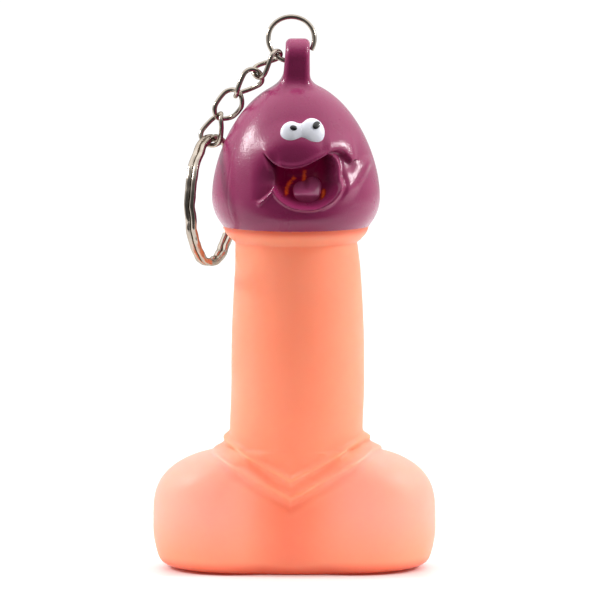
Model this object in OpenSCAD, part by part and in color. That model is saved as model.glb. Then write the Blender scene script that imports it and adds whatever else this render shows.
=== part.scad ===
// Soft-vinyl gag figure keychain: hollow figure with a hanging loop, open jump ring,
// four twisted chain links and a split ring.
// Millimetres. +Z up, the face looks along -Y, the chain hangs on the -X side.
// The origin is in the resting plane, under the middle of the figure.

/* [Base and shaft] */
// Half the width across both lobes of the base
lobe_half_width = 26.7; // [24:0.1:28]
// Half the depth of one lobe, front to back
lobe_half_depth = 13.4; // [12.5:0.1:15]
// Height at which the lobes are widest
lobe_mid_height = 9.5; // [8:0.1:11]
// Rise of the lobes above their widest height
lobe_rise = 14.2; // [12:0.1:15]
// Shaft radius just above the lobes
shaft_low_radius = 12.5; // [12:0.1:13]
// Shaft radius just under the rim
shaft_top_radius = 11.4; // [11:0.1:12]
// Wall thickness of the vinyl
wall = 2; // [1.5:0.1:2.5]
// Height of each moulded ridge that runs round the foot of the shaft
ridge_height = 0.7; // [0:0.1:1]

/* [Head] */
// Height of the seam between the rim and the painted head
neck_height = 65; // [64:0.5:66]
// Largest radius of the head
head_radius = 15.9; // [15.5:0.1:16]
// Depth of the open mouth
mouth_depth = 4.6; // [3:0.1:5]

/* [Hanging loop] */
// Width of the loop, along its hole
loop_width = 5; // [4.4:0.1:5]
// Radius of the loop's hole
loop_hole_radius = 2.1; // [2.1:0.05:2.2]
// Outer radius of the loop's arch
loop_arch_radius = 3.65; // [3.6:0.05:3.7]

/* [Chain and rings] */
// Wire thickness of the jump ring and the links
wire = 0.9; // [0.8:0.05:0.9]
// Outer length of one chain link
link_length = 7.3; // [7.25:0.05:7.35]
// Outer width of one chain link
link_width = 5.2; // [5.15:0.05:5.25]
// Twist from the middle of a link to each end, in degrees
link_twist = 42; // [41:1:43]
// Outer diameter of the split ring
split_ring_diameter = 25; // [24.5:0.1:25]

/* [Hidden] */

flesh = [1, 0.62, 0.48];
purple = [0.62, 0.3, 0.44];
eye_white = [0.92, 0.91, 0.94];
pupil_black = [0.08, 0.08, 0.09];
tongue_mauve = [0.6, 0.3, 0.45];
plug_white = [0.9, 0.88, 0.84];
reed_brass = [0.8, 0.65, 0.35];
nickel = [0.72, 0.68, 0.64];

// ---- small helpers ----
function clamp01(v) = min(1, max(0, v));
function smooth01(v) = let (c = clamp01(v)) c * c * (3 - 2 * c);
function soft_max(a, b, k) = (a + b + sqrt((a - b) * (a - b) + k * k)) / 2;
function hump(v) = exp(-v * v);
function unit(v) = v / norm(v);
function steps(low, high, count) = [for (i = [0 : count - 1]) low + (high - low) * i / (count - 1)];
// Angle away from the front of the figure, -180 to 180, positive towards +X
function from_front(t) = let (a = t + 90) a - 360 * floor((a + 180) / 360);

// A skin through rows of points: every row has the same number of points and closes on itself.
// Rows that are in a loop join end to end; otherwise both ends are capped.
module skin(rows, in_loop) {
    row_size = len(rows[0]);
    row_count = len(rows);
    last = in_loop ? row_count - 1 : row_count - 2;
    function at(i, j) = (i % row_count) * row_size + j % row_size;
    sides = [for (i = [0 : last]) for (j = [0 : row_size - 1])
             for (face = [[at(i, j), at(i + 1, j), at(i + 1, j + 1)],
                          [at(i, j), at(i + 1, j + 1), at(i, j + 1)]])
             face];
    caps = in_loop ? [] : [[for (j = [0 : row_size - 1]) j],
                           [for (j = [row_size - 1 : -1 : 0]) (row_count - 1) * row_size + j]];
    polyhedron([for (row = rows) for (p = row) p], concat(sides, caps), convexity = 8);
}

// ---- figure body: two-lobed base, shaft and rim, one hollow wall ----
body_columns = 72;
base_hole_radius = 5;
base_edge_exponent = 6;
lobe_top_exponent = 3;
lobe_depth_floor = 0.35;
edge_margin = 0.1;
rim_foot_height = 62.1;
rim_radius = 13.6;
shaft_taper_length = 24;
lobe_blend = 3;
ridge_half_band = 0.65;
// Each ridge is a V at the front: [height at its tip, rise from there to the side]
upper_ridge = [17.5, 8.1];
lower_ridge = [15.2, 7.7];
ridge_curve = 0.62;
ridge_tip_angle = -3.4;
back_share = 0.15;
// The skirt under the ridges spreads from the shaft to the lobes, most at the sides
skirt_front_reach = 1;
skirt_side_reach = 3.3;
skirt_height = 3.6;
skirt_drop = 2.8;

function shaft_radius(z) =
    shaft_top_radius + (shaft_low_radius - shaft_top_radius)
    * sin(90 * clamp01((rim_foot_height - z) / shaft_taper_length));

// Share of the lobe's full size at height z, for a skin set in by inset
function lobe_share(z, inset) =
    let (above = (z - lobe_mid_height) / (lobe_rise - inset),
         below = (lobe_mid_height - z) / (lobe_mid_height + edge_margin - inset))
    z > lobe_mid_height
    ? pow(max(0, 1 - pow(abs(above), lobe_top_exponent)), 1 / lobe_top_exponent)
    : pow(max(0, 1 - pow(abs(below), base_edge_exponent)), 1 / base_edge_exponent);

// Plan outline of a lobe, as an ellipse that passes through the middle of the figure
function lobe_radius(t, z, inset) =
    let (share = lobe_share(z, inset),
         half_long = (lobe_half_width - inset) * share / 2,
         half_deep = (lobe_half_depth - inset) * (lobe_depth_floor + (1 - lobe_depth_floor) * share))
    half_long <= 0 ? 0
    : 2 * half_long * abs(cos(t)) / (pow(cos(t), 2) + pow(half_long * sin(t) / half_deep, 2));

// Height of a ridge's line above the resting plane; it levels out round the back
function ridge_line(t, ridge) =
    let (away = abs(from_front(t) - ridge_tip_angle),
         wrapped = away > 90 ? 90 + back_share * (away - 90) : away)
    ridge[0] + ridge[1] * pow(wrapped / 90, ridge_curve);

function ridge(t, z, line) = ridge_height * hump((z - ridge_line(t, line)) / ridge_half_band);

function skirt(t, z) =
    (skirt_front_reach + skirt_side_reach * pow(cos(t), 2))
    * (1 - smooth01((z - ridge_line(t, upper_ridge) + skirt_drop) / skirt_height));

function rim_flare(z) =
    (rim_radius - shaft_top_radius)
    * smooth01((z - rim_foot_height) / (neck_height - rim_foot_height));

function body_radius(t, z, inset) =
    let (core = shaft_radius(z) - inset + (inset > 0 ? 0 : skirt(t, z)))
    soft_max(lobe_radius(t, z, inset), core, lobe_blend)
    + (inset > 0 ? 0 : ridge(t, z, upper_ridge) + ridge(t, z, lower_ridge))
    + rim_flare(z);

function body_ring(z, inset) =
    [for (i = [0 : body_columns - 1]) let (t = 360 * i / body_columns, r = body_radius(t, z, inset))
     [r * cos(t), r * sin(t), z]];
function round_ring(r, z, columns) =
    [for (i = [0 : columns - 1]) let (t = 360 * i / columns) [r * cos(t), r * sin(t), z]];

module figure_body() {
    outer_heights = concat([0, 0.5, 1.2, 2.2, 3.6, 5.4], steps(7.5, 12.5, 3), steps(13.6, 27.7, 20),
                           steps(32, rim_foot_height - 0.4, 6), steps(rim_foot_height + 0.4, neck_height, 5));
    inner_heights = concat(steps(neck_height, rim_foot_height, 3), [44, 27], steps(20.4, wall, 8));
    color(flesh)
    skin(concat([round_ring(base_hole_radius, 0, body_columns)],
                [for (z = outer_heights) body_ring(z, 0)],
                [for (z = inner_heights) body_ring(z, wall)],
                [round_ring(base_hole_radius, wall, body_columns)]), true);
}

// ---- figure head: hollow painted dome with an open mouth ----
head_wide_height = 70.7;
head_top_height = 91.6;
head_rise = 21.9;
head_drop = 14.1;
head_rise_exponent = 1.75;
head_round_exponent = 1.9;
head_drop_exponent = 2.2;
head_front_columns = 30;
head_back_columns = 42;
head_front_angle = 42;
mouth_x = 1.8;
mouth_z = 74.3;
mouth_half_width = 6.4;
mouth_half_height = 5;
// Share of the mouth's size over which its wall runs down to the floor
mouth_slope = 0.28;
lip_height = 0.5;
lip_place = 1.12;
lip_half_band = 0.14;

function dome_radius(z) =
    z > head_wide_height
    ? head_radius * pow(max(0, 1 - pow((z - head_wide_height) / head_rise, head_rise_exponent)),
                        1 / head_round_exponent)
    : head_radius * (1 - pow((head_wide_height - z) / head_drop, head_drop_exponent));

// Distance from the middle of the mouth, 1 at its edge
function mouth_distance(t, z, r) =
    let (x = r * sin(from_front(t)))
    abs(from_front(t)) > 90 ? 9 : norm([(x - mouth_x) / mouth_half_width, (z - mouth_z) / mouth_half_height]);

function head_surface(t, z) =
    let (r = dome_radius(z), away = mouth_distance(t, z, r))
    r - mouth_depth * smooth01((1 - away) / mouth_slope)
      + lip_height * hump((away - lip_place) / lip_half_band);

// Columns stand closer together across the face
head_angles = concat([for (i = [0 : head_front_columns - 1])
                      -90 - head_front_angle + 2 * head_front_angle * i / head_front_columns],
                     [for (i = [0 : head_back_columns - 1])
                      -90 + head_front_angle + (360 - 2 * head_front_angle) * i / head_back_columns]);

function head_ring(z, inset) =
    [for (t = head_angles) let (r = head_surface(t, z) - inset) [r * cos(t), r * sin(t), z]];

module figure_head() {
    outer_heights = concat([head_top_height, 90.9], steps(90, 80.5, 8), steps(79.8, 68.6, 18),
                           steps(67.6, neck_height, 4));
    inner_heights = concat(steps(neck_height, 80, 9), [82.5, 85, 87.4, 88.6]);
    color(purple)
    skin(concat([for (z = outer_heights) head_ring(z, 0)],
                [for (z = inner_heights) head_ring(z, wall)]), false);
}

// ---- hanging loop: a strap with a round hole along X ----
loop_x = 0.15;
loop_hole_height = 96.9;
loop_foot_radius = 4.1;
loop_foot_height = 1.2;

module hanging_loop() {
    color(purple)
    difference() {
        union() {
            translate([loop_x, 0, loop_hole_height]) rotate([0, 90, 0])
            cylinder(r = loop_arch_radius, h = loop_width, center = true, $fn = 64);
            translate([loop_x - loop_width / 2, -loop_arch_radius, head_top_height])
            cube([loop_width, 2 * loop_arch_radius, loop_hole_height - head_top_height]);
            translate([0, 0, head_top_height])
            cylinder(r1 = loop_foot_radius, r2 = loop_width / 2, h = loop_foot_height, $fn = 64);
        }
        translate([loop_x, 0, loop_hole_height]) rotate([0, 90, 0])
        cylinder(r = loop_hole_radius, h = 2 * loop_width, center = true, $fn = 64);
    }
}

// ---- face: raised eyes, pupils and tongue ----
eye_bulge = 1.2;
pupil_bulge = 0.25;
face_gap = 0.12;
left_eye = [-0.95, 83.9];
right_eye = [3.2, 84.1];
left_eye_radius = 1.98;
right_eye_radius = 2.2;
pupil_lift = 0.15;
// Each pupil: [its offset from the eye's middle, across and up; its radius]
left_pupil = [[0.3, 0.3], 0.65];
right_pupil = [[0.4, 0.4], 0.85];

// A shallow dome with a flat back, standing on the head at [x, z] and lifted off it by lift
module dome_button(at, radius, bulge, lift, tilt) {
    sphere_radius = (radius * radius + bulge * bulge) / (2 * bulge);
    r = dome_radius(at[1]);
    turn = asin(at[0] / r);
    rotate([0, 0, turn])
    translate([0, -r, at[1]])
    rotate([90 - tilt, 0, 0])
    translate([0, 0, lift])
    rotate_extrude($fn = 48)
    intersection() {
        translate([0, bulge - sphere_radius]) circle(r = sphere_radius, $fn = 96);
        square([radius, bulge]);
    }
}

eye_tilt = 30;
module eye_left() {
    color(eye_white) dome_button(left_eye, left_eye_radius, eye_bulge, face_gap, eye_tilt);
}
module eye_right() {
    color(eye_white) dome_button(right_eye, right_eye_radius, eye_bulge, face_gap, eye_tilt);
}
module pupil_left() {
    color(pupil_black)
    dome_button(left_eye + left_pupil[0], left_pupil[1], pupil_bulge, eye_bulge + pupil_lift, eye_tilt);
}
module pupil_right() {
    color(pupil_black)
    dome_button(right_eye + right_pupil[0], right_pupil[1], pupil_bulge, eye_bulge + pupil_lift, eye_tilt);
}

tongue_radius = 2.3;
tongue_bulge = 1.9;
tongue_lift = 0.5;
tongue_place = [mouth_x + 0.2, mouth_z - 0.7];
module tongue() {
    color(tongue_mauve)
    dome_button(tongue_place, tongue_radius, tongue_bulge, tongue_lift - mouth_depth, 0);
}

// ---- squeaker plug in the moulding hole of the base ----
plug_gap = 0.05;
plug_lip = 0.9;
plug_lip_height = 0.9;
vent_radius = 0.6;
vent_circle = 2.4;
reed_radius = 3.4;
reed_height = 2.4;
reed_wall = 0.6;
cut_margin = 1;

module squeaker_plug() {
    stem_radius = base_hole_radius - plug_gap;
    color(plug_white)
    difference() {
        union() {
            cylinder(r = stem_radius, h = wall + plug_gap, $fn = 64);
            translate([0, 0, wall + plug_gap])
            cylinder(r = base_hole_radius + plug_lip, h = plug_lip_height, $fn = 64);
        }
        for (i = [0 : 2]) rotate([0, 0, 120 * i]) translate([vent_circle, 0, -cut_margin])
        cylinder(r = vent_radius, h = wall + plug_lip_height + 2 * cut_margin, $fn = 24);
    }
}
module squeaker_reed() {
    color(reed_brass)
    translate([0, 0, wall + plug_gap + plug_lip_height])
    difference() {
        cylinder(r = reed_radius, h = reed_height, $fn = 48);
        translate([0, 0, -cut_margin])
        cylinder(r = reed_radius - reed_wall, h = reed_height - reed_wall + cut_margin, $fn = 48);
    }
}

// ---- jump ring: open ring of round wire that stands in the loop and leans back ----
jump_mean_radius = 4.35;
jump_lean = 18;
jump_x = -0.88;
jump_drop = 0.72;
jump_gap_start = -42;
jump_gap_end = -29;
jump_up = [0, sin(jump_lean), cos(jump_lean)];
jump_centre = [jump_x, 0, loop_hole_height] + (jump_mean_radius - jump_drop) * jump_up;

module jump_ring() {
    color(nickel)
    translate(jump_centre)
    rotate([90 - jump_lean, 0, 0])
    rotate([0, 0, jump_gap_end])
    rotate_extrude(angle = 360 + jump_gap_start - jump_gap_end, $fn = 96)
    translate([jump_mean_radius, 0]) circle(d = wire, $fn = 20);
}

// ---- chain: each link hangs from the one before it ----
// For each link: lean of its length from straight down, its tilt towards +Y, and the roll of its face
link_poses = [[46.1, -1.56, 84.5], [43.4, 6.97, -49.3], [38.05, 9.5, -2.5], [24.55, 4.4, 43.9]];
hook_angle = 228.4;
wire_clearance = 0.06;
wire_spacing = wire + wire_clearance;
link_reach = (link_length - wire) / 2;

function link_along(i) =
    let (lean = link_poses[i][0], tilt = link_poses[i][1])
    [-sin(lean) * cos(tilt), sin(tilt), -cos(lean) * cos(tilt)];
hook_out = [cos(hook_angle), 0, 0] + sin(hook_angle) * jump_up;
hook_point = jump_centre + jump_mean_radius * hook_out;

// Middle of the wire at the top and the bottom end of a link
function link_top(i) =
    i == 0 ? hook_point - wire_spacing * unit(link_along(0) + hook_out)
           : link_bottom(i - 1) - wire_spacing * unit(link_along(i - 1) + link_along(i));
function link_bottom(i) = link_top(i) + 2 * link_reach * link_along(i);

bend_radius = (link_width - wire) / 2;
straight = link_reach - bend_radius;
bend_steps = 10;
side_share = 0.34;
// Flat outline of a link, [along, across]
link_outline = concat([for (i = [0 : bend_steps]) let (a = -90 + 180 * i / bend_steps)
                       [straight + bend_radius * cos(a), bend_radius * sin(a)]],
                      [for (f = [side_share, -side_share]) [straight * f, bend_radius]],
                      [for (i = [0 : bend_steps]) let (a = 90 + 180 * i / bend_steps)
                       [-straight + bend_radius * cos(a), bend_radius * sin(a)]],
                      [for (f = [-side_share, side_share]) [straight * f, -bend_radius]]);

// A round wire swept through points that close on themselves
module closed_wire(points, sides) {
    count = len(points);
    rows = [for (i = [0 : count - 1])
            let (tangent = unit(points[(i + 1) % count] - points[(i + count - 1) % count]),
                 // one side of the section faces away from the middle of the link
                 middle = (points[0] + points[floor(count / 2)]) / 2,
                 side = unit(cross(cross(tangent, points[i] - middle), tangent)),
                 other = cross(tangent, side))
            [for (k = [0 : sides - 1])
             points[i] + wire / 2 * (cos(360 * k / sides) * side + sin(360 * k / sides) * other)]];
    skin(rows, true);
}

module chain_link(i) {
    along = link_along(i);
    flat_across = unit(cross([0, 1, 0], along));
    flat_normal = cross(along, flat_across);
    roll = link_poses[i][2];
    centre = link_top(i) + link_reach * along;
    points = [for (p = link_outline) let (turn = roll - link_twist * p[0] / link_reach)
              centre + p[0] * along + p[1] * (cos(turn) * flat_across + sin(turn) * flat_normal)];
    color(nickel) closed_wire(points, 8);
}

module chain_link_1() {
    chain_link(0);
}
module chain_link_2() {
    chain_link(1);
}
module chain_link_3() {
    chain_link(2);
}
module chain_link_4() {
    chain_link(3);
}

// ---- split ring: two flattened turns side by side, joined where the strip steps across ----
band_thick = 1.25;
band_wide = 1;
band_gap = 0.06;
ring_turn = 19;
ring_offset = [0.76, -0.58, 0.19];
strip_start = 32;
strip_step = 6;
cross_half_angle = 28;
ring_mean_radius = (split_ring_diameter - band_thick) / 2;
ring_forward = [-sin(ring_turn), -cos(ring_turn), 0];
ring_normal = cross(ring_forward, [0, 0, 1]);
ring_hang_gap = 0.05;
ring_centre = link_bottom(3) + ring_offset
              + [0, 0, (wire + band_thick) / 2 + ring_hang_gap - ring_mean_radius];
// Angle round the ring at which the strip steps across, behind the head
cross_at = 150;
corner = 0.28;
band_section = let (h = band_thick / 2, w = band_wide / 2)
    [[h, w - corner], [h - corner, w], [corner - h, w], [-h, w - corner],
     [-h, corner - w], [corner - h, -w], [h - corner, -w], [h, corner - w]];

module split_ring() {
    last_step = floor((720 - 2 * strip_start) / strip_step);
    rows = [for (i = [0 : last_step])
            let (a = strip_start + i * strip_step,
                 crossed = smooth01((a - 360 + cross_half_angle) / (2 * cross_half_angle)),
                 shift = (band_wide + band_gap) * (crossed - 0.5),
                 out = cos(a + cross_at) * ring_forward + [0, 0, sin(a + cross_at)])
            [for (s = band_section)
             ring_centre + (ring_mean_radius + s[0]) * out + (shift + s[1]) * ring_normal]];
    color(nickel) skin(rows, false);
}

figure_body();
figure_head();
hanging_loop();
eye_left();
eye_right();
pupil_left();
pupil_right();
tongue();
squeaker_plug();
squeaker_reed();
jump_ring();
chain_link_1();
chain_link_2();
chain_link_3();
chain_link_4();
split_ring();
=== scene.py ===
"""Looks for the soft-vinyl gag figure keychain: one smooth vinyl figure in two colours with raised face
details, a bright nickel chain and a hammered split ring, on a white table in a soft light tent."""
import math
import bpy
import numpy as np
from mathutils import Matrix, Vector


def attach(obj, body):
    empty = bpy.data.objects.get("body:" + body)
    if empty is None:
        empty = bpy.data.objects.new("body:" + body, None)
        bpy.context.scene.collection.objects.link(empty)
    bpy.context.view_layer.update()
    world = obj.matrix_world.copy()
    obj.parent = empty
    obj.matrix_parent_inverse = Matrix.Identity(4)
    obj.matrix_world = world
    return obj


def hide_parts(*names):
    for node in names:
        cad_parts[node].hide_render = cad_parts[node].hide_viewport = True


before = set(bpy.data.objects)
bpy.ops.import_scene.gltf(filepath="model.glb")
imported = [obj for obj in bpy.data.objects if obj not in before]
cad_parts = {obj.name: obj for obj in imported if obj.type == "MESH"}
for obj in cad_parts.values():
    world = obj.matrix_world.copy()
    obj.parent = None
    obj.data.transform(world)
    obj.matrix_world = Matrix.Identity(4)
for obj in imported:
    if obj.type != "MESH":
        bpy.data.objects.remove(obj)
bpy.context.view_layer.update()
MM = 0.001

# ---------------------------------------------------------------- small helpers
def smooth(v):
    c = np.clip(v, 0.0, 1.0)
    return c * c * (3.0 - 2.0 * c)


def hump(v):
    return np.exp(-v * v)


def soft_max(a, b, k):
    return (a + b + np.sqrt((a - b) ** 2 + k * k)) / 2.0


def soft_min(a, b, k):
    h = np.clip(k - np.abs(a - b), 0.0, None) / k
    return np.minimum(a, b) - h * h * k / 4.0


def unit(v):
    v = np.asarray(v, float)
    return v / np.linalg.norm(v)


def curve_through(points, steps, closed):
    """A smooth curve through a few points."""
    p = np.asarray(points, float)
    n = len(p)
    out = []
    for i in range(n if closed else n - 1):
        if closed:
            a, b, c, d = p[i - 1], p[i], p[(i + 1) % n], p[(i + 2) % n]
        else:
            a, b, c, d = p[max(i - 1, 0)], p[i], p[i + 1], p[min(i + 2, n - 1)]
        for t in np.arange(steps) / steps:
            out.append(0.5 * (2 * b + (c - a) * t + (2 * a - 5 * b + 4 * c - d) * t * t
                              + (3 * b - a - 3 * c + d) * t ** 3))
    if not closed:
        out.append(p[-1])
    return np.array(out)


def distance_to_line(x, z, line, closed):
    """Distance in the face's plane from points to a line of short segments."""
    ends = np.roll(line, -1, axis=0) if closed else line[1:]
    starts = line if closed else line[:-1]
    best = np.full(x.shape, 1e9)
    for (ax, az), (bx, bz) in zip(starts, ends):
        dx, dz = bx - ax, bz - az
        t = np.clip(((x - ax) * dx + (z - az) * dz) / (dx * dx + dz * dz), 0.0, 1.0)
        best = np.minimum(best, (x - ax - t * dx) ** 2 + (z - az - t * dz) ** 2)
    return np.sqrt(best)


def inside_outline(x, z, line):
    inside = np.zeros(x.shape, bool)
    for (ax, az), (bx, bz) in zip(line, np.roll(line, -1, axis=0)):
        if az == bz:
            continue
        crosses = (az > z) != (bz > z)
        inside ^= crosses & (x < (bx - ax) * (z - az) / (bz - az) + ax)
    return inside


class Table:
    """A function of two numbers, worked out once on a grid and read between its points."""

    def __init__(self, low, high, step, function):
        self.low, self.step = np.array(low, float), np.array(step, float)
        axes = [np.arange(low[i], high[i] + step[i], step[i]) for i in range(2)]
        self.values = function(*np.meshgrid(*axes, indexing="ij"))

    def __call__(self, a, b):
        u = np.clip((a - self.low[0]) / self.step[0], 0, self.values.shape[0] - 1.001)
        v = np.clip((b - self.low[1]) / self.step[1], 0, self.values.shape[1] - 1.001)
        i, j = u.astype(int), v.astype(int)
        fu, fv = u - i, v - j
        t = self.values
        return ((t[i, j] * (1 - fu) + t[i + 1, j] * fu) * (1 - fv)
                + (t[i, j + 1] * (1 - fu) + t[i + 1, j + 1] * fu) * fv)


# ---------------------------------------------------------------- meshes
def add_mesh(name, points_mm, faces, body, replaced, material, sharp_angle=40.0):
    mesh = bpy.data.meshes.new(name)
    mesh.from_pydata((np.asarray(points_mm) * MM).tolist(), [], faces)
    mesh.validate()
    mesh.polygons.foreach_set("use_smooth", [True] * len(mesh.polygons))
    mesh.set_sharp_from_angle(angle=math.radians(sharp_angle))
    mesh.update()
    piece = bpy.data.objects.new(name, mesh)
    bpy.context.scene.collection.objects.link(piece)
    piece.data.materials.append(material)
    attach(piece, body)
    if replaced:
        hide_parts(*replaced)
    return piece


def surface_net(field, low, high, step):
    """Points and faces of the surface where field(x, y, z) is 0, found on a grid of cells."""
    axes = [np.arange(low[i], high[i] + step, step) for i in range(3)]
    layers = [field(*np.meshgrid(axes[0], axes[1], [z], indexing="ij"))[..., 0] for z in axes[2]]
    values = np.stack(layers, axis=2)
    inside = values < 0
    cells = tuple(n - 1 for n in values.shape)
    count = np.zeros(cells, np.int8)
    total = np.zeros(cells + (3,), np.float32)
    crossings = np.zeros(cells, np.float32)
    corners = [(a, b, c) for a in (0, 1) for b in (0, 1) for c in (0, 1)]
    part = lambda array, o: array[o[0]:o[0] + cells[0], o[1]:o[1] + cells[1], o[2]:o[2] + cells[2]]
    for o in corners:
        count += part(inside, o)
    for axis in range(3):
        for o in corners:
            if o[axis]:
                continue
            far = tuple(1 if k == axis else o[k] for k in range(3))
            a, b = part(values, o), part(values, far)
            cut = (a < 0) != (b < 0)
            with np.errstate(divide="ignore", invalid="ignore"):
                t = np.where(cut, a / (a - b), 0.0)
            for k in range(3):
                total[..., k] += np.where(cut, o[k] + (t if k == axis else 0.0), 0.0)
            crossings += cut
    active = (count > 0) & (count < 8)
    index = np.full(cells, -1, np.int64)
    index[active] = np.arange(active.sum())
    where = np.argwhere(active)
    points = (where + total[active] / crossings[active][:, None]) * step + np.array([a[0] for a in axes])
    faces = []
    for axis in range(3):
        u, v = (axis + 1) % 3, (axis + 2) % 3
        near = [slice(None)] * 3
        far = [slice(None)] * 3
        near[axis], far[axis] = slice(0, -1), slice(1, None)
        for k in (u, v):
            near[k] = far[k] = slice(1, -1)
        a, b = inside[tuple(near)], inside[tuple(far)]
        cut = np.argwhere(a != b)
        flip = a[tuple(cut.T)]
        cut[:, u] += 1
        cut[:, v] += 1
        quad = []
        for du, dv in ((-1, -1), (0, -1), (0, 0), (-1, 0)):
            cell = cut.copy()
            cell[:, u] += du
            cell[:, v] += dv
            quad.append(index[tuple(cell.T)])
        quad = np.stack(quad, axis=1)
        quad[~flip] = quad[~flip][:, ::-1]
        faces.append(quad)
    faces = np.concatenate(faces)
    # a few short steps down the slope bring the points close to the surface itself
    nudge, longest, least_slope_squared = step * 0.2, 0.4 * step, 0.04
    for _ in range(4):
        x, y, z = points.T
        f = field(x, y, z)
        slope = np.stack([field(x + nudge, y, z) - field(x - nudge, y, z),
                          field(x, y + nudge, z) - field(x, y - nudge, z),
                          field(x, y, z + nudge) - field(x, y, z - nudge)], axis=1) / (2 * nudge)
        move = -(f / np.maximum((slope ** 2).sum(1), least_slope_squared))[:, None] * slope
        length = np.linalg.norm(move, axis=1, keepdims=True)
        points = points + move * np.minimum(1.0, longest / np.maximum(length, 1e-9))
    return points, faces.tolist()


def swept(rows, closed):
    """Faces of a tube through rows of points, capped at both ends unless it closes on itself."""
    count, size = len(rows), len(rows[0])
    at = lambda i, j: (i % count) * size + j % size
    faces = [(at(i, j), at(i, j + 1), at(i + 1, j + 1), at(i + 1, j))
             for i in range(count if closed else count - 1) for j in range(size)]
    if not closed:
        faces += [tuple(range(size - 1, -1, -1)), tuple((count - 1) * size + j for j in range(size))]
    return np.concatenate(rows), faces


# ---------------------------------------------------------------- materials
class Nodes:
    """A few words to write a node material in."""

    def __init__(self, name):
        self.material = bpy.data.materials.new(name)
        self.material.use_nodes = True
        self.tree = self.material.node_tree
        self.shader = self.tree.nodes["Principled BSDF"]
        self.place = self.add("ShaderNodeTexCoord").outputs["Object"]

    def add(self, kind, **settings):
        node = self.tree.nodes.new(kind)
        for key, value in settings.items():
            setattr(node, key, value)
        return node

    def link(self, a, b):
        self.tree.links.new(a, b)

    def noise(self, scale, detail=3.0, roughness=0.5, stretch=None):
        place = self.place
        if stretch:
            mapping = self.add("ShaderNodeMapping")
            mapping.inputs["Scale"].default_value = stretch
            self.link(place, mapping.inputs["Vector"])
            place = mapping.outputs["Vector"]
        node = self.add("ShaderNodeTexNoise")
        node.inputs["Scale"].default_value = scale
        node.inputs["Detail"].default_value = detail
        node.inputs["Roughness"].default_value = roughness
        self.link(place, node.inputs["Vector"])
        return node.outputs["Fac"]

    def attribute(self, name):
        return self.add("ShaderNodeAttribute", attribute_name=name).outputs["Fac"]

    def times_plus(self, value, factor, addend):
        node = self.add("ShaderNodeMath", operation="MULTIPLY_ADD")
        self.link(value, node.inputs[0])
        node.inputs[1].default_value = factor
        self.link(addend, node.inputs[2])
        return node.outputs[0]

    def span(self, value, low, high, out_low, out_high):
        node = self.add("ShaderNodeMapRange")
        ends = (("From Min", low), ("From Max", high), ("To Min", out_low), ("To Max", out_high))
        for key, number in ends:
            node.inputs[key].default_value = number
        self.link(value, node.inputs["Value"])
        return node.outputs["Result"]

    def mix(self, share, a, b):
        node = self.add("ShaderNodeMix", data_type="RGBA")
        for socket, value in (("A", a), ("B", b)):
            target = next(s for s in node.inputs if s.name == socket and s.type == "RGBA")
            if isinstance(value, tuple):
                target.default_value = (*value, 1.0)
            else:
                self.link(value, target)
        self.link(share, node.inputs["Factor"])
        return next(s for s in node.outputs if s.type == "RGBA")

    def bump(self, height, distance_mm, strength=1.0, before=None):
        node = self.add("ShaderNodeBump")
        node.inputs["Distance"].default_value = distance_mm * MM
        node.inputs["Strength"].default_value = strength
        self.link(height, node.inputs["Height"])
        if before:
            self.link(before, node.inputs["Normal"])
        return node.outputs["Normal"]

    def set(self, **values):
        for key, value in values.items():
            socket = self.shader.inputs[key.replace("_", " ")]
            if hasattr(value, "is_linked"):
                self.link(value, socket)
            else:
                socket.default_value = value


def linear(r, g, b):
    """Linear light from an ordinary 0 to 255 screen colour."""
    return tuple((c / 255 / 12.92 if c <= 10 else ((c / 255 + 0.055) / 1.055) ** 2.4) for c in (r, g, b))


def flesh_vinyl():
    m = Nodes("flesh_vinyl")
    cloud = m.span(m.noise(60, 2), 0.35, 0.65, 0.0, 1.0)
    # painted light: the lobes are painted paler and pinker towards their lit sides and upwards; painted shade
    # darkens the underside and the groove between the lobes, and the top of the rim turns darker red towards
    # the paint line
    pale = m.attribute("pale")
    under = m.attribute("under")
    colour = m.mix(cloud, linear(255, 149, 117), linear(255, 156, 125))
    colour = m.mix(pale, colour, linear(255, 164, 146))
    colour = m.mix(under, colour, linear(222, 92, 70))
    # painted glow: the vinyl is given a light of its own, strongest on faces turned to the camera, in place
    # of light passing through it
    facing = m.add("ShaderNodeLayerWeight").outputs["Facing"]
    painted_glow = m.mix(under, m.mix(pale, (1.0, 0.26, 0.14), (1.0, 0.33, 0.22)), (0.45, 0.07, 0.035))
    grain = m.noise(1500, 2)
    m.set(Base_Color=colour, Roughness=m.span(m.noise(220, 3), 0.3, 0.7, 0.40, 0.50),
          Subsurface_Weight=1.0, Subsurface_Radius=(1.0, 0.4, 0.25), Subsurface_Scale=0.005,
          Emission_Color=painted_glow, Emission_Strength=m.span(facing, 0.0, 0.8, 0.40, 0.12),
          Specular_IOR_Level=0.25, Normal=m.bump(grain, 0.012, 0.5))
    return m.material


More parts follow.
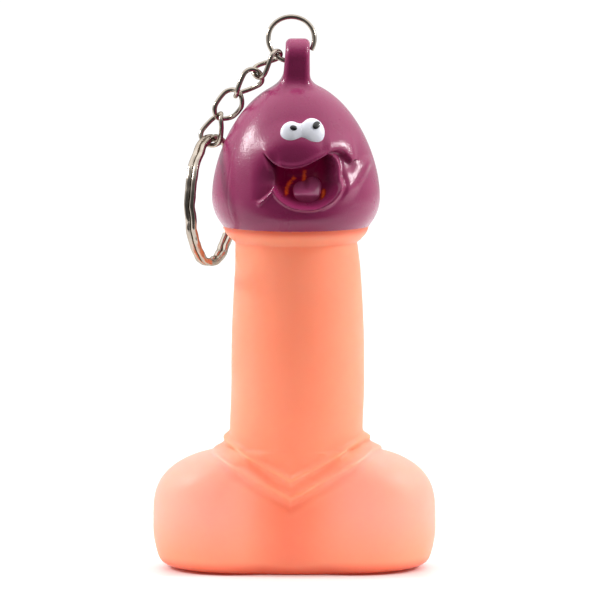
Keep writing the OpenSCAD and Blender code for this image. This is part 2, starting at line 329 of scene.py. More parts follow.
def purple_paint():
    m = Nodes("purple_paint")
    cloud = m.span(m.noise(90, 3), 0.35, 0.65, 0.0, 1.0)
    paint = m.mix(cloud, linear(148, 43, 92), linear(156, 49, 99))
    # painted shade: deeper in the mouth the paint is painted darker, partly the mouth's own darker paint; a
    # painted glow there stands in for light coming through the vinyl
    deep = m.attribute("deep")
    paint = m.mix(deep, paint, linear(90, 17, 43))
    # round the tongue the spray never reached, and the orange vinyl shows with a ragged edge
    bare = m.attribute("bare")
    ragged = m.times_plus(m.noise(1500, 4, 0.7), 1.5, bare)
    share = m.span(ragged, 1.25, 1.8, 0.0, 1.0)
    colour = m.mix(m.span(ragged, 0.95, 1.3, 0.0, 1.0), paint, linear(140, 18, 16))
    colour = m.mix(share, colour, linear(228, 88, 26))
    # painted glow: dark red in the mouth and orange on the bare vinyl, strongest where the mouth's painted
    # shade is deepest
    painted_glow = m.mix(share, (0.045, 0.0, 0.008), (0.16, 0.016, 0.003))
    # the paint thins out over the last third of a millimetre at the rim
    thin = m.attribute("thin")
    fuzz = m.times_plus(m.noise(900, 4), 0.9, thin)
    colour = m.mix(m.span(fuzz, 0.9, 1.5, 0.0, 1.0), colour, linear(236, 120, 100))
    speckle = m.noise(3200, 2, 0.6)
    ripple = m.noise(380, 2)
    skin = m.bump(speckle, 0.05, 0.8, m.bump(ripple, 0.02, 0.4))
    m.set(Base_Color=colour, Roughness=m.span(m.noise(300, 3), 0.3, 0.7, 0.26, 0.34),
          Specular_IOR_Level=0.15, Coat_Weight=0.42, Coat_Roughness=0.08,
          Subsurface_Weight=0.1, Subsurface_Radius=(1.0, 0.35, 0.4), Subsurface_Scale=0.001,
          Emission_Color=painted_glow, Emission_Strength=m.span(deep, 0.35, 1.0, 0.0, 1.0),
          Normal=skin, Coat_Normal=skin)
    return m.material


def gloss_enamel(name, colour_a, colour_b, roughness):
    m = Nodes(name)
    cloud = m.span(m.noise(500, 3), 0.35, 0.65, 0.0, 1.0)
    m.set(Base_Color=m.mix(cloud, colour_a, colour_b),
          Roughness=m.span(m.noise(900, 2), 0.3, 0.7, roughness, roughness + 0.1),
          Specular_IOR_Level=0.5, Coat_Weight=0.3, Coat_Roughness=0.1,
          Normal=m.bump(m.noise(1600, 2), 0.01, 0.5))
    return m.material


def nickel(name, wear):
    m = Nodes(name)
    cloud = m.span(m.noise(700, 3), 0.3, 0.7, 0.0, 1.0)
    stain = m.span(m.noise(350, 4, 0.6), 0.5, 0.8, 0.0, wear)
    colour = m.mix(stain, m.mix(cloud, linear(168, 157, 145), linear(190, 180, 168)), linear(84, 72, 66))
    scratch = m.noise(2500, 3, 0.6, (1.0, 1.0, 0.15))
    m.set(Base_Color=colour, Metallic=1.0, Specular_Tint=(0.5, 0.45, 0.4, 1.0),
          Roughness=m.span(m.noise(900, 3), 0.3, 0.7, 0.10, 0.24),
          Normal=m.bump(scratch, 0.012, 0.5, m.bump(m.noise(500, 2), 0.03, 0.5)))
    return m.material


def moulded_plastic(name, colour_a, colour_b):
    m = Nodes(name)
    cloud = m.span(m.noise(400, 3), 0.35, 0.65, 0.0, 1.0)
    m.set(Base_Color=m.mix(cloud, colour_a, colour_b),
          Roughness=m.span(m.noise(800, 3), 0.3, 0.7, 0.45, 0.6),
          Normal=m.bump(m.noise(1500, 3), 0.02, 0.5))
    return m.material


FLESH = flesh_vinyl()
PURPLE = purple_paint()
WHITE = gloss_enamel("white_enamel", linear(238, 240, 252), linear(246, 247, 255), 0.3)
BLACK = gloss_enamel("black_enamel", linear(12, 12, 16), linear(22, 21, 26), 0.16)
TONGUE = gloss_enamel("tongue_paint", linear(196, 84, 136), linear(206, 92, 144), 0.16)
NICKEL = nickel("nickel_wire", 0.5)
RING_NICKEL = nickel("nickel_band", 0.35)
PLUG = moulded_plastic("plug_plastic", linear(222, 216, 204), linear(232, 228, 218))
REED = moulded_plastic("reed_plastic", linear(196, 164, 96), linear(206, 176, 108))

# ---------------------------------------------------------------- figure: the vinyl surface, in millimetres
NECK = 65.0                     # where the paint ends
WIDE, DOME_R, DOME_TOP = 70.7, 15.9, 92.6
FACE_REACH = 82                 # degrees from the front to the end of the face's relief


def dome_radius(z):
    above = 1 - np.clip((z - WIDE) / (DOME_TOP - WIDE), 0, 1) ** 1.75
    below = 1 - (np.clip(WIDE - z, 0, None) / 14.1) ** 2.2
    return DOME_R * np.where(z > WIDE, above ** (1 / 1.9), below)


# the open mouth, as seen from the front: x and z of its edge
MOUTH = curve_through([(-6.0, 79.8), (-4.4, 78.0), (-3.0, 77.3), (-0.8, 77.0), (1.6, 77.4), (3.9, 78.6),
                       (5.6, 79.4), (6.7, 79.3), (7.4, 77.6), (7.45, 75.6), (7.6, 73.8), (6.7, 71.5),
                       (4.5, 69.8), (2.0, 69.45), (-0.8, 69.9), (-3.0, 71.3), (-4.15, 73.0), (-4.4, 75.0),
                       (-4.7, 77.0)], 6, True)
HOOD = curve_through([(5.0, 79.8), (6.2, 80.4), (7.6, 80.5), (9.1, 79.9), (10.4, 78.3)], 6, False)
LEFT_FOLD = curve_through([(-6.9, 70.6), (-5.5, 71.8), (-4.1, 73.4)], 6, False)
BARE_LINES = [curve_through(p, 4, False) for p in ([(-1.8, 72.3), (-1.5, 73.7), (-0.4, 74.8)],
                                                   [(1.5, 74.6), (1.6, 76.0)], [(5.0, 70.8), (5.2, 72.5)])]
MOUTH_MIDDLE_X, MOUTH_MIDDLE_Z, MOUTH_DEPTH = 1.8, 74.3, 5.3
MUZZLE_X = -0.2
# the cheek's nearly flat upper face: its direction to the right, front and top, and its place along that
CHEEK_RIGHT, CHEEK_FRONT, CHEEK_UP, CHEEK_PLANE = 0.578, 0.688, 0.438, 47.10


def distance_to_mouth(x, z):
    """Distance to the mouth's edge, negative inside it."""
    return distance_to_line(x, z, MOUTH, True) * np.where(inside_outline(x, z, MOUTH), -1, 1)


MOUTH_EDGE = Table((-14, 64), (14, 92), (0.08, 0.08), distance_to_mouth)


def face_relief(x, z):
    """Height of the face over the plain dome, where x and z are as seen from the front."""
    edge = MOUTH_EDGE(x, z)
    low = smooth((76.0 - z) / 5.0)
    right = smooth((x - 4.0) / 3.0) * smooth((80.0 - z) / 1.2)
    # the muzzle stands out under the eyes and curls in towards the mouth, with a rounded upper lip
    over = z - (82.0 - 1.8 * ((x - MUZZLE_X) / 5.9) ** 2)
    swell = (0.9 - 0.15 * (np.sqrt(over ** 2 + 4.4) - over - 2.1)) * (1 - smooth((over + 1.0) / 5.5))
    muzzle = swell * np.exp(-(np.abs(x - MUZZLE_X) / 6.3) ** 4) * smooth((z - 73.5) / 2.0)
    upper_lip = (0.3 * hump((edge - 0.45) / 0.5) * smooth((z - 76.2) / 0.8)
                 * smooth((6.2 - np.abs(x)) / 1.5))
    # the cheek's upper face is nearly flat and looks up to the right
    off_cheek = x - 9.0 - 0.6 * (z - 73.6)
    dome = np.maximum(dome_radius(z), 1.0)
    turn = np.arcsin(np.clip(x / dome, -1, 1))
    outward = np.maximum(CHEEK_RIGHT * np.sin(turn) + CHEEK_FRONT * np.cos(turn), 0.3)
    flat = (CHEEK_PLANE - CHEEK_UP * z) / outward - dome
    cheek = (soft_min(soft_max(flat, 0.0, 0.35) - 0.17, 1.0, 0.4) * smooth((off_cheek + 1.8) / 1.2)
             * smooth((3.9 - off_cheek) / 3.4) * smooth((z - 69.5) / 4.2) * smooth((79.2 - z) / 2.4))
    chin = 0.35 * hump((x - 1.5) / 6.0) * hump((z - 67.4) / 1.6)
    # left of the mouth a broad hollow slopes in, down to a fold that runs into the lower lip
    fold_z = np.interp(x, LEFT_FOLD[:, 0], LEFT_FOLD[:, 1], left=70.6)
    hollow = (-1.15 * smooth((x + 8.6) / 4.6) * smooth((-2.6 - x) / 1.6)
              * smooth((z - fold_z) / 0.6) * smooth((80.6 - z) / 5.5))
    fold = 0.34 * hump((z - fold_z + 0.3) / 0.45) * smooth((x + 7.6) / 1.2) * smooth((-3.9 - x) / 0.8)
    # the lip is a rounded rim along the bottom and right of the mouth, with a furrow outside it on the right
    lip = (0.42 * low * hump((edge - 0.1) / 0.35) * smooth((x + 5.0) / 1.0)
           + 0.5 * right * hump((edge - 0.45) / 0.42))
    furrow = -0.35 * right * hump((edge - 1.35) / 0.5) * smooth((z - 70.0) / 3.0)
    hood_far = distance_to_line(x, z, HOOD, False)
    hood_side = np.interp(x, HOOD[:, 0], HOOD[:, 1])
    # the hood falls softly upwards and steeply towards the mouth
    crest = 0.6 * hump(0.9 / 2.2)
    above = 0.6 * hump((hood_far - 0.9) / 2.2)
    below = (crest - 1.0 * smooth(hood_far / 0.8)) * hump(np.clip(hood_far - 0.8, 0, None) / 1.2)
    hood = np.where(z > hood_side, above, below) * smooth((x - 4.6) / 1.6) * smooth((11.9 - x) / 1.8)
    # the mouth's walls slope most gently at the bottom and at the right
    aside, down = x - MOUTH_MIDDLE_X, MOUTH_MIDDLE_Z - z
    reach = np.hypot(aside, down) + 1.5
    softness = 0.38 + 1.35 * smooth(1.25 * down / reach) + 0.75 * smooth(aside / reach)
    depth = np.where(edge < 0, MOUTH_DEPTH * (1 - np.exp(-np.clip(-edge, 0, None) / softness)), 0.0)
    return muzzle + upper_lip + cheek + chin + hollow + fold + lip + furrow + hood - depth


def head_radius(angle, z):
    """Radius of the painted head; angle is in degrees from the front, positive towards +X."""
    r = dome_radius(z)
    x = r * np.sin(np.radians(angle))
    front = np.abs(angle) < FACE_REACH
    # the mould's parting line: a fine groove on the left and a fine ridge at the back on the right
    above_rim = smooth((z - 65.5) / 2)
    seam = -0.04 * hump((angle + 55 + 0.25 * (z - 74)) / 0.9) * smooth((84 - z) / 4) * above_rim
    back_seam = 0.08 * hump((angle - 125) / 0.8) * smooth((90 - z) / 4) * above_rim
    faded = smooth((FACE_REACH - np.abs(angle)) / 12)
    return r + np.where(front, face_relief(x, z) * faded, 0.0) + seam + back_seam


HEAD_R = Table((-180, 64.4), (180, 93.0), (0.25, 0.06), head_radius)
LOOP_X, LOOP_Z, LOOP_R, LOOP_HOLE, LOOP_HALF = 0.15, 96.9, 3.65, 2.12, 2.5


def dome_distance(rho, z):
    """Distance to the plain dome's outline."""
    heights = DOME_TOP - (DOME_TOP - 80.0) * np.linspace(0, 1, 60) ** 2
    outline = np.stack([dome_radius(heights), heights], axis=1)
    outline = np.vstack([outline, [(dome_radius(np.array(72.0)), 72.0)]])
    inside = (z < DOME_TOP) & (rho < dome_radius(z))
    return distance_to_line(rho, z, outline, False) * np.where(inside, -1, 1)


DOME = Table((0, 82), (20, 102), (0.1, 0.1), dome_distance)


def angles(x, y):
    return np.degrees(np.arctan2(x, -y))


def head_field(x, y, z):
    rho = np.hypot(x, y)
    slope = (dome_radius(z + 0.05) - dome_radius(z - 0.05)) / 0.1
    dome = (rho - HEAD_R(angles(x, y), z)) / np.sqrt(1 + np.minimum(slope * slope, 30))
    dome = dome + (DOME(rho, z) - dome) * smooth((z - 85.0) / 3.0)
    # the loop is a strap with a round top and round edges, drawn in on its left as it rises
    qy, qz = y, z - LOOP_Z
    drawn_in = 0.18 * smooth((z - 93.5) / 6.0)
    qx = np.abs(x - LOOP_X - drawn_in) - LOOP_HALF + drawn_in
    strap = np.where(qz > 0, np.hypot(qy, qz) - LOOP_R, np.abs(qy) - LOOP_R)
    round_edge = 1.1
    a, b = strap + round_edge, qx + round_edge
    loop = np.hypot(np.maximum(a, 0), np.maximum(b, 0)) + np.minimum(np.maximum(a, b), 0) - round_edge
    loop = np.maximum(loop, 88.0 - z)
    whole = soft_min(dome, loop, 1.7 + 1.0 * smooth(-x / 3.0))
    hole = np.hypot(qy, qz) - LOOP_HOLE
    whole = soft_max(whole, -hole, 0.25)
    return np.maximum(whole, NECK - z)


SHAFT_R, SHAFT_SWELL, RIM_R = 11.4, 1.1, 13.6
LOBE_Z, LOBE_REACH, LOBE_DEEP = 9.5, 26.7, 13.9
GROOVE_X = -0.8                 # the middle of the ridges and of the groove between the lobes
PLUG_HOLE_R, PLUG_HOLE_DEEP = 5.05, 2.2
# height of each ridge's tip, its rise from there, and how far to the side it rises
UPPER_RIDGE = (17.9, 7.2, 13.6)
LOWER_RIDGE = (14.5, 8.5, 15.2)


def ridge_line(x, y, tip, rise, reach):
    """Height of a ridge: a straight V as seen from the front, level round the back."""
    across = np.minimum(np.abs(x - GROOVE_X), reach)
    return tip + rise * (across + (reach - across) * smooth(y / 4.0 + 0.5)) / reach


def lobe_share(z):
    """Share of the lobes' full size at a height: rounded above, and nearly square at the bottom."""
    above = 1 - (np.clip(z - LOBE_Z, 0, None) / 13.8) ** 3
    below = 1 - (np.clip(LOBE_Z - z, 0, None) / 9.6) ** 10
    taper = 1 - 0.04 * smooth((7.5 - z) / 7.5)
    share = np.where(z > LOBE_Z, np.clip(above, 0, None) ** (1 / 3), np.clip(below, 0, None) ** 0.1)
    return share * taper


def body_radius(angle, z):
    """Radius of the bare vinyl: two lobes, shaft and rim; angle is in degrees from the front."""
    t = np.radians(angle)
    shaft = SHAFT_R + SHAFT_SWELL * np.sin(np.radians(90 * np.clip((62.1 - z) / 24, 0, 1)))
    share = lobe_share(z)
    half_long = np.maximum(LOBE_REACH * share / 2, 1e-6)
    half_deep = LOBE_DEEP * (0.35 + 0.65 * share)
    lobe = 2 * half_long * np.abs(np.sin(t)) / (np.sin(t) ** 2 + (half_long * np.cos(t) / half_deep) ** 2)
    # the foot of the shaft flares out at its sides
    up = z - 17.7 - 7.6 * (np.minimum(np.abs(angle + 3.4), 90) / 90) ** 0.66
    skirt = (0.1 + (1.95 + 0.55 * np.sin(t)) * np.sin(t) ** 2) * (1 - smooth((up + 2.8) / 3.6))
    rim = (RIM_R - SHAFT_R) * (1 - (1 - np.clip((z - 62.0) / 3.0, 0, 1)) ** 1.9)
    # above the rim the vinyl runs on just inside the painted skin
    inner = 0.25 * smooth((z - NECK) / 0.2)
    under_paint = np.where(z > NECK, dome_radius(z) - RIM_R - inner, 0.0)
    return soft_max(lobe, shaft + skirt, 2.4) + rim + under_paint


BODY_R = Table((-180, -1.0), (180, 72.0), (0.4, 0.08), body_radius)


def body_field(x, y, z):
    # the shaft stands a little to the right, and the base a little to the left
    lean = 0.35 * smooth((z - 24) / 12) * (1 - smooth((z - 56) / 8)) - 0.3 * (1 - smooth((z - 14) / 12))
    x = x - lean
    r = BODY_R(angles(x, y), z)
    slope = (BODY_R(angles(x, y), z + 0.1) - BODY_R(angles(x, y), z - 0.1)) / 0.2
    stretch = np.sqrt(1 + np.minimum(slope * slope, 30))
    side = (np.hypot(x, y) - r) / stretch
    # two rolled ridges with a groove between them, laid on the surface
    wide = np.minimum(stretch, 1.9)
    up = (z - ridge_line(x, y, *UPPER_RIDGE)) * wide
    down = (z - ridge_line(x, y, *LOWER_RIDGE)) * wide
    rolls = 0.75 * hump(up / 0.8) + 0.7 * hump(down / 0.85) - 0.3 * hump((down + 1.8) / 0.8)
    side = side - rolls * np.minimum(1, 1.4 / stretch)
    hole = np.maximum(np.hypot(x + lean, y) - PLUG_HOLE_R, z - PLUG_HOLE_DEEP)
    whole = soft_max(side, -z, 0.6)
    whole = np.maximum(whole, z - (NECK + 3.5))
    return np.maximum(whole, -hole)


# ---------------------------------------------------------------- figure pieces
def point_values(piece, **layers):
    for name, values in layers.items():
        layer = piece.data.attributes.new(name, "FLOAT", "POINT")
        layer.data.foreach_set("value", values.astype(np.float32))


def vinyl_body():
    points, faces = surface_net(body_field, (-28, -15, -0.7), (28, 15, 69.2), 0.32)
    piece = add_mesh("vinyl_body", points, faces, "figure", ["figure_body"], FLESH, 60)
    x, y, z = points.T
    below_ridge = 1 - smooth((z - ridge_line(x, y, *LOWER_RIDGE) + 0.5) / 2.5)
    # painted light: paler away from the groove towards the lit sides and upwards from the foot
    pale = below_ridge * smooth((np.abs(x - GROOVE_X) - 2.0) / 12.0) * smooth((z - 1.0) / 12.0)
    # painted shade: darker at the foot by the table and along the groove between the lobes; darker red at the
    # top of the rim towards the paint line
    foot = 1 - smooth((z - 0.1) / 2.8)
    groove = 0.4 * hump((x - GROOVE_X) / 5.5) * smooth((17.0 - z) / 5.0)
    rim = 0.75 * smooth((z - 63.4) / 1.4)
    point_values(piece, pale=pale, under=np.maximum(foot, groove) + rim)


def paint_attributes(piece, points):
    """Marks the bare vinyl round the tongue, the painted shade and glow deeper in the mouth, and where the
    paint thins at the rim.
    """
    x, y, z = points.T
    depth = dome_radius(z) - np.hypot(x, y)
    in_front = y < 0
    bare = np.zeros(len(x))
    for line in BARE_LINES:
        bare = np.maximum(bare, hump(distance_to_line(x, z, line, False) / 0.55))
    bare *= in_front * smooth((depth - 1.2) / 1.0)
    # painted shade: darker the deeper a point lies in the mouth, partly the mouth's own darker paint
    deep = in_front * smooth((depth - 0.6) / 3.6)
    thin = smooth((NECK + 0.3 - z) / 0.3)
    point_values(piece, bare=bare, deep=deep, thin=thin)


def vinyl_head():
    points, faces = surface_net(head_field, (-16.8, -17.4, 64.6), (16.8, 16.6, 101.0), 0.2)
    piece = add_mesh("vinyl_head", points, faces, "figure",
                     ["figure_head", "hanging_loop"], PURPLE, 60)
    paint_attributes(piece, points)


def ellipsoid(x, y, z, centre, axes, radii):
    """Rough distance to an ellipsoid whose axes are three unit vectors."""
    d = np.stack([x - centre[0], y - centre[1], z - centre[2]])
    q = np.stack([(a[0] * d[0] + a[1] * d[1] + a[2] * d[2]) / r for a, r in zip(axes, radii)])
    k = np.sqrt((q ** 2).sum(0))
    return (k - 1) * min(radii)


def face_axes(at_x, at_z, tilt):
    """Across, up and outward directions of the head's surface at a place on the face."""
    turn = math.asin(at_x / float(dome_radius(np.array(at_z))))
    out = unit([math.sin(turn) * math.cos(tilt), -math.cos(turn) * math.cos(tilt), math.sin(tilt)])
    across = unit([math.cos(turn), math.sin(turn), 0])
    return across, np.cross(out, across) * -1, out


EYE_TILT = math.radians(24)
# each eye's place on the face, and its half width, half height and half thickness
EYES = {"eye_left": ((-0.87, 83.5), (2.05, 2.25, 0.9)), "eye_right": ((3.1, 83.7), (2.28, 2.65, 1.0))}
EYE_MEETING = 1.05              # where the left eye's piece ends and the right one's begins
# each pupil's eye, its place from the eye's middle, its half length and half width, and its roll in degrees
PUPILS = {"pupil_left": ("eye_left", (0.43, 0.97), (0.70, 0.54), 14),
          "pupil_right": ("eye_right", (0.70, 1.22), (0.98, 0.66), -42)}


def eye_frame(eye):
    (x, z), radii = EYES[eye]
    across, up, out = face_axes(x, z, EYE_TILT)
    surface = float(dome_radius(np.array(z)))
    turn = math.asin(x / surface)
    foot = np.array([math.sin(turn) * surface, -math.cos(turn) * surface, z])
    return foot + 0.25 * out, (across, up, out), radii


def both_eyes(x, y, z):
    """The two eyes are one white shape with a soft valley where they meet."""
    left, right = (ellipsoid(x, y, z, *eye_frame(eye)) for eye in EYES)
    return soft_min(left, right, 0.6)


def make_eye(eye, side):
    centre, axes, radii = eye_frame(eye)
    reach = max(radii) + 0.4
    field = lambda x, y, z: np.maximum(both_eyes(x, y, z), side * (x - EYE_MEETING) - 0.02)
    points, faces = surface_net(field, centre - reach, centre + reach, 0.11)
    add_mesh(eye + "_white", points, faces, "figure", [eye], WHITE, 50)


def make_pupil(pupil):
    eye, (dx, dz), (half_long, half_short), roll = PUPILS[pupil]
    centre, (across, up, out), radii = eye_frame(eye)
    # the place on the eye that shows at dx, dz from its middle when seen from the front
    y = np.linspace(centre[1] - 3, centre[1], 400)
    x, z = np.full(len(y), centre[0] + dx), np.full(len(y), centre[2] + dz)
    outside = ellipsoid(x, y, z, centre, (across, up, out), radii)
    spot = np.array([centre[0] + dx, y[np.argmax(outside < 0)], centre[2] + dz])
    local = [np.dot(spot - centre, a) / r ** 2 for a, r in zip((across, up, out), radii)]
    normal = unit(local[0] * across + local[1] * up + local[2] * out)
    side = unit(np.cross([0, 0, 1], normal)) * -1
    top = np.cross(normal, side) * -1
    c, s = math.cos(math.radians(roll)), math.sin(math.radians(roll))
    long_axis, short_axis = c * side + s * top, c * top - s * side
    if long_axis[0] < 0:
        long_axis = -long_axis
    axes, sizes = (long_axis, short_axis, normal), (half_long, half_short, 0.24)
    field = lambda x, y, z: ellipsoid(x, y, z, spot, axes, sizes)
    points, faces = surface_net(field, spot - 1.3, spot + 1.3, 0.05)
    add_mesh(pupil + "_dot", points, faces, "figure", [pupil], BLACK)


TONGUE_FRONT_Y, TONGUE_FRONT_Z = -13.7, 72.0    # the blunt edge between its top and its front


def tongue_field(x, y, z):
    """A heart-shaped tongue whose top slopes up and back from a blunt front."""
    left = np.hypot(x - 0.85, z - 72.95) - 1.45
    right = np.hypot(x - 3.1, z - 73.5) - 1.75
    tip = (np.hypot((x - 2.1) / 2.2, (z - 71.9) / 1.75) - 1) * 1.75
    heart = soft_min(soft_min(left, right, 0.35), tip, 1.3)
    notch = 0.5 * hump((x - 1.75) / 0.5) * smooth((z - 72.6) / 1.6)
    crown = 0.28 * ((x - 2.1) / 2.6) ** 2
    forward, up = -(y - TONGUE_FRONT_Y), z - TONGUE_FRONT_Z
    top = forward * 0.72 + up * 0.69 + notch + crown
    front = forward * 0.93 - up * 0.37 + crown
    return soft_max(soft_max(soft_max(heart, top, 0.35), front, 0.22), y + 8.9, 0.2)


def make_tongue():
    points, faces = surface_net(tongue_field, (-1.4, -15.0, 69.5), (5.6, -8.4, 76.0), 0.1)
    add_mesh("tongue_relief", points, faces, "figure", ["tongue"], TONGUE, 70)


vinyl_body()
vinyl_head()
make_eye("eye_left", 1)
make_eye("eye_right", -1)
for pupil_name in PUPILS:
    make_pupil(pupil_name)
make_tongue()
for node_name, finish in (("squeaker_plug", PLUG), ("squeaker_reed", REED)):
    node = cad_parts[node_name]
    node.data.materials.clear()
    node.data.materials.append(finish)

# ---------------------------------------------------------------- jump ring and chain
WIRE_R = 0.45
JUMP_R, JUMP_LEAN = 4.35, math.radians(18)
JUMP_X, JUMP_SEAT = -0.88, 0.72         # its middle in x; how far its wire passes below the hole's middle
JUMP_ENDS = (-29, 318)                  # degrees from +X to the ends of the open ring
JUMP_UP = np.array([0, math.sin(JUMP_LEAN), math.cos(JUMP_LEAN)])
JUMP_CENTRE = np.array([JUMP_X, 0, LOOP_Z]) + (JUMP_R - JUMP_SEAT) * JUMP_UP
ACROSS = np.array([1.0, 0, 0])


def wire_rows(path, closed, sides=20):
    """Round sections along a path, carried along it without twist."""
    path = np.asarray(path)
    count = len(path)
    ahead = np.roll(path, -1, axis=0) - np.roll(path, 1, axis=0)
    if not closed:
        ahead[0], ahead[-1] = path[1] - path[0], path[-1] - path[-2]
    ahead /= np.linalg.norm(ahead, axis=1, keepdims=True)
    side = unit(np.cross(ahead[0], [0.3, 0.5, 0.8]))
    turn = np.linspace(0, 2 * np.pi, sides, endpoint=False)
    rows = []
    for i in range(count):
        side = unit(side - np.dot(side, ahead[i]) * ahead[i])
        other = np.cross(ahead[i], side)
        rows.append(path[i] + WIRE_R * (np.cos(turn)[:, None] * side + np.sin(turn)[:, None] * other))
    if closed:
        # the carried section comes back turned by a little, which is shared out along the loop
        start = unit(rows[0][0] - path[0])
        side = unit(side - np.dot(side, ahead[0]) * ahead[0])
        miss = math.atan2(np.dot(np.cross(start, side), ahead[0]), np.dot(start, side))
        for i in range(count):
            a = -miss * i / count
            local = rows[i] - path[i]
            rows[i] = path[i] + local * math.cos(a) + np.cross(ahead[i], local) * math.sin(a)
    return rows


def jump_ring():
    angle = np.radians(np.linspace(*JUMP_ENDS, 180))[:, None]
    radius = JUMP_R + 0.03 * np.sin(3 * angle)      # a little out of round
    path = JUMP_CENTRE + radius * (np.cos(angle) * ACROSS + np.sin(angle) * JUMP_UP)
    points, faces = swept(wire_rows(path, False), False)
    add_mesh("jump_ring_wire", points, faces, "jump_ring", ["jump_ring"], NICKEL, 50)


# lean of each link from straight down, its tilt towards +Y, and the roll of its face, in degrees
LINK_POSES = [(46.1, -1.56, 84.5), (43.4, 6.97, -49.3), (38.05, 9.5, -2.5), (24.55, 4.4, 43.9)]
LINK_REACH, LINK_BEND, LINK_TWIST = 3.2, 2.15, math.radians(-42)
WIRE_SPACING = 0.96                     # between the middles of two hooked wires, with a little room
HOOK = math.radians(228.4)              # where the first link hangs on the jump ring


def link_frames():
    """Middle, length direction and face roll of each link, hung one from the next."""
    frames = []
    out = math.cos(HOOK) * ACROSS + math.sin(HOOK) * JUMP_UP
    hook, before = JUMP_CENTRE + JUMP_R * out, out
    for lean, tilt, roll in np.radians(LINK_POSES):
        along = np.array([-math.sin(lean) * math.cos(tilt), math.sin(tilt), -math.cos(lean) * math.cos(tilt)])
        top = hook - WIRE_SPACING * unit(before + along)
        frames.append((top + LINK_REACH * along, along, roll))
        hook, before = top + 2 * LINK_REACH * along, along
    return frames, hook


def chain_links():
    frames, last_hook = link_frames()
    straight = LINK_REACH - LINK_BEND
    bend = np.linspace(-np.pi / 2, np.pi / 2, 36)
    side = np.linspace(straight, -straight, 14)[1:-1]
    along_x = np.concatenate([straight + LINK_BEND * np.cos(bend), side,
                              -straight - LINK_BEND * np.cos(bend), -side])
    edge = np.full(len(side), LINK_BEND)
    across_y = np.concatenate([LINK_BEND * np.sin(bend), edge, -LINK_BEND * np.sin(bend), -edge])
    for number, (centre, along, roll) in enumerate(frames, 1):
        flat_across = unit(np.cross([0, 1, 0], along))
        flat_normal = np.cross(along, flat_across)
        turn = (roll + LINK_TWIST * along_x / LINK_REACH)[:, None]
        sideways = np.cos(turn) * flat_across + np.sin(turn) * flat_normal
        path = centre + along_x[:, None] * along + across_y[:, None] * sideways
        points, faces = swept(wire_rows(path, True), True)
        add_mesh(f"chain_link_{number}_wire", points, faces, f"link_{number}",
                 [f"chain_link_{number}"], NICKEL)
    return last_hook


RING_TURN = math.radians(19)            # of the ring's plane from straight ahead
RING_OFFSET = np.array([0.76, -0.58, 0.19])     # of the ring from hanging straight under the last link


def split_ring(last_hook):
    """Two flattened turns side by side, with hammered faces; the strip steps across behind the head."""
    thick, wide, gap, mean, corner_r = 1.25, 1.0, 0.06, 11.875, 0.38
    # in degrees along the strip: its two ends, and where it steps across and over what length
    first, last, step_from, step_length = 32, 688.1, 332, 56
    forward = np.array([-math.sin(RING_TURN), -math.cos(RING_TURN), 0])
    normal = np.cross(forward, [0, 0, 1.0])
    centre = last_hook + RING_OFFSET + np.array([0, 0, WIRE_R + thick / 2 + 0.05 - mean])
    rng = np.random.default_rng(4)
    bumps = [(rng.uniform(14, 34), rng.uniform(0, 6.28), rng.uniform(0.012, 0.035)) for _ in range(7)]
    corner = np.linspace(0, np.pi / 2, 5)
    section = []
    for sx, sy, start in ((1, 1, 0), (-1, 1, 1), (-1, -1, 2), (1, -1, 3)):
        for c in corner:
            a = c + start * np.pi / 2
            section.append((sx * (thick / 2 - corner_r) + corner_r * math.cos(a),
                            sy * (wide / 2 - corner_r) + corner_r * math.sin(a)))
    section = np.array(section)
    rows = []
    for degrees in np.arange(first, last, 1.6):
        a = math.radians(degrees + 150)
        shift = (wide + gap) * (float(smooth((degrees - step_from) / step_length)) - 0.5)
        out = math.cos(a) * forward + np.array([0, 0, math.sin(a)])
        wave = sum(h * math.sin(k * a + p) for k, p, h in bumps)
        # both turns waver together, so they stay side by side
        shift += 0.06 * math.sin(11 * a + 1.0) + 0.05 * math.sin(17 * a + 2.2)
        dent = -0.05 * abs(math.sin(9.3 * a + 0.7))
        radial = section[:, 0] + np.where(section[:, 0] < 0, wave - dent, 0.45 * wave + dent * 0.5)
        rows.append(centre + (mean + radial)[:, None] * out + (shift + section[:, 1])[:, None] * normal)
    points, faces = swept(rows, False)
    add_mesh("split_ring_band", points, faces, "split_ring", ["split_ring"], RING_NICKEL, 50)


jump_ring()
split_ring(chain_links())

# ---------------------------------------------------------------- table, light and camera
def table_top():
    m = Nodes("white_table")
    cloud = m.span(m.noise(3, 2), 0.3, 0.7, 0.0, 1.0)
    m.set(Base_Color=m.mix(cloud, (0.90, 0.90, 0.90), (0.92, 0.92, 0.92)),
          Roughness=0.35, Specular_IOR_Level=0.3)
    mesh = bpy.data.meshes.new("table_top")
    side, front, back = 0.9, -0.062, 0.9
    corners = [(-side, front, 0), (side, front, 0), (side, back, 0), (-side, back, 0)]
    mesh.from_pydata(corners, [], [(0, 1, 2, 3)])
    floor = bpy.data.objects.new("table_top", mesh)
    bpy.context.scene.collection.objects.link(floor)
    floor.data.materials.append(m.material)


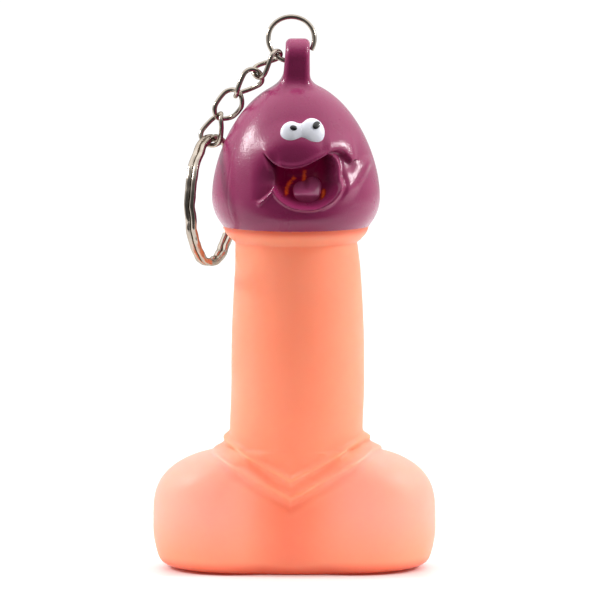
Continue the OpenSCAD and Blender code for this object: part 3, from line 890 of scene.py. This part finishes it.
def light_tent():
    """White all round, darkest behind the camera and brightest overhead; the camera sees plain white."""
    world = bpy.data.worlds.new("light_tent")
    bpy.context.scene.world = world
    world.use_nodes = True
    tree = world.node_tree
    add, link = tree.nodes.new, tree.links.new
    background = tree.nodes["Background"]
    place = add("ShaderNodeTexCoord")
    split = add("ShaderNodeSeparateXYZ")
    link(place.outputs["Generated"], split.inputs[0])

    def ramp(value, stops):
        halved = add("ShaderNodeMath")
        halved.operation = "MULTIPLY_ADD"
        halved.inputs[1].default_value = 0.5
        halved.inputs[2].default_value = 0.5
        link(value, halved.inputs[0])
        node = add("ShaderNodeValToRGB")
        while len(node.color_ramp.elements) < len(stops):
            node.color_ramp.elements.new(0.5)
        for element, (at, level) in zip(node.color_ramp.elements, stops):
            element.position = (at + 1) / 2
            element.color = (level, level, level, 1)
        link(halved.outputs[0], node.inputs["Fac"])
        return node.outputs["Color"]

    # the camera stands in a dark gap at -Y; the roof is brighter than the walls
    walls = ramp(split.outputs["Y"], [(-1.0, 0.11), (-0.68, 0.13), (-0.42, 0.55), (-0.15, 0.95),
                                      (0.3, 0.95), (1.0, 0.8)])
    roof = ramp(split.outputs["Z"], [(-1.0, 0.6), (-0.05, 0.8), (0.25, 1.0), (0.7, 1.9), (1.0, 2.0)])
    whole = add("ShaderNodeMix")
    whole.data_type, whole.blend_type = "RGBA", "MULTIPLY"
    whole.inputs["Factor"].default_value = 1.0
    link(walls, whole.inputs[6])
    link(roof, whole.inputs[7])
    sight = add("ShaderNodeLightPath")
    mix = add("ShaderNodeMix")
    mix.data_type = "RGBA"
    link(sight.outputs["Is Camera Ray"], mix.inputs["Factor"])
    link(whole.outputs[2], mix.inputs[6])
    mix.inputs[7].default_value = (1.05, 1.05, 1.05, 1)
    link(mix.outputs[2], background.inputs["Color"])
    background.inputs["Strength"].default_value = 1.0


SOFTBOX_SIZE, SOFTBOX_POWER = 0.115, 1.9
LIGHT_AIM = Vector((0, 0, 0.06))


def softbox(name, place):
    light = bpy.data.lights.new(name, "AREA")
    light.shape = "SQUARE"
    light.size = SOFTBOX_SIZE
    light.energy = SOFTBOX_POWER
    lamp = bpy.data.objects.new(name, light)
    lamp.location = place
    aim = LIGHT_AIM - Vector(place)
    lamp.rotation_euler = aim.to_track_quat("-Z", "Y").to_euler()
    bpy.context.scene.collection.objects.link(lamp)


def photo_camera():
    lens, sensor, view_width, elevation = 500.0, 36.0, 0.11364, math.radians(5.5)
    target = Vector((0.00076, 0.0, 0.0509))
    distance = view_width * lens / sensor
    camera = bpy.data.objects.new("camera", bpy.data.cameras.new("camera"))
    camera.data.lens = lens
    camera.data.sensor_width = sensor
    camera.data.clip_start = 0.01
    back = Vector((0, -math.cos(elevation), math.sin(elevation)))
    camera.location = target + back * distance
    camera.rotation_euler = (-back).to_track_quat("-Z", "Y").to_euler()
    bpy.context.scene.collection.objects.link(camera)
    bpy.context.scene.camera = camera


table_top()
light_tent()
softbox("left_softbox", (-0.52, 0.07, 0.40))
softbox("right_softbox", (0.53, 0.0, 0.40))
photo_camera()
bpy.context.scene.view_settings.view_transform = "Standard"
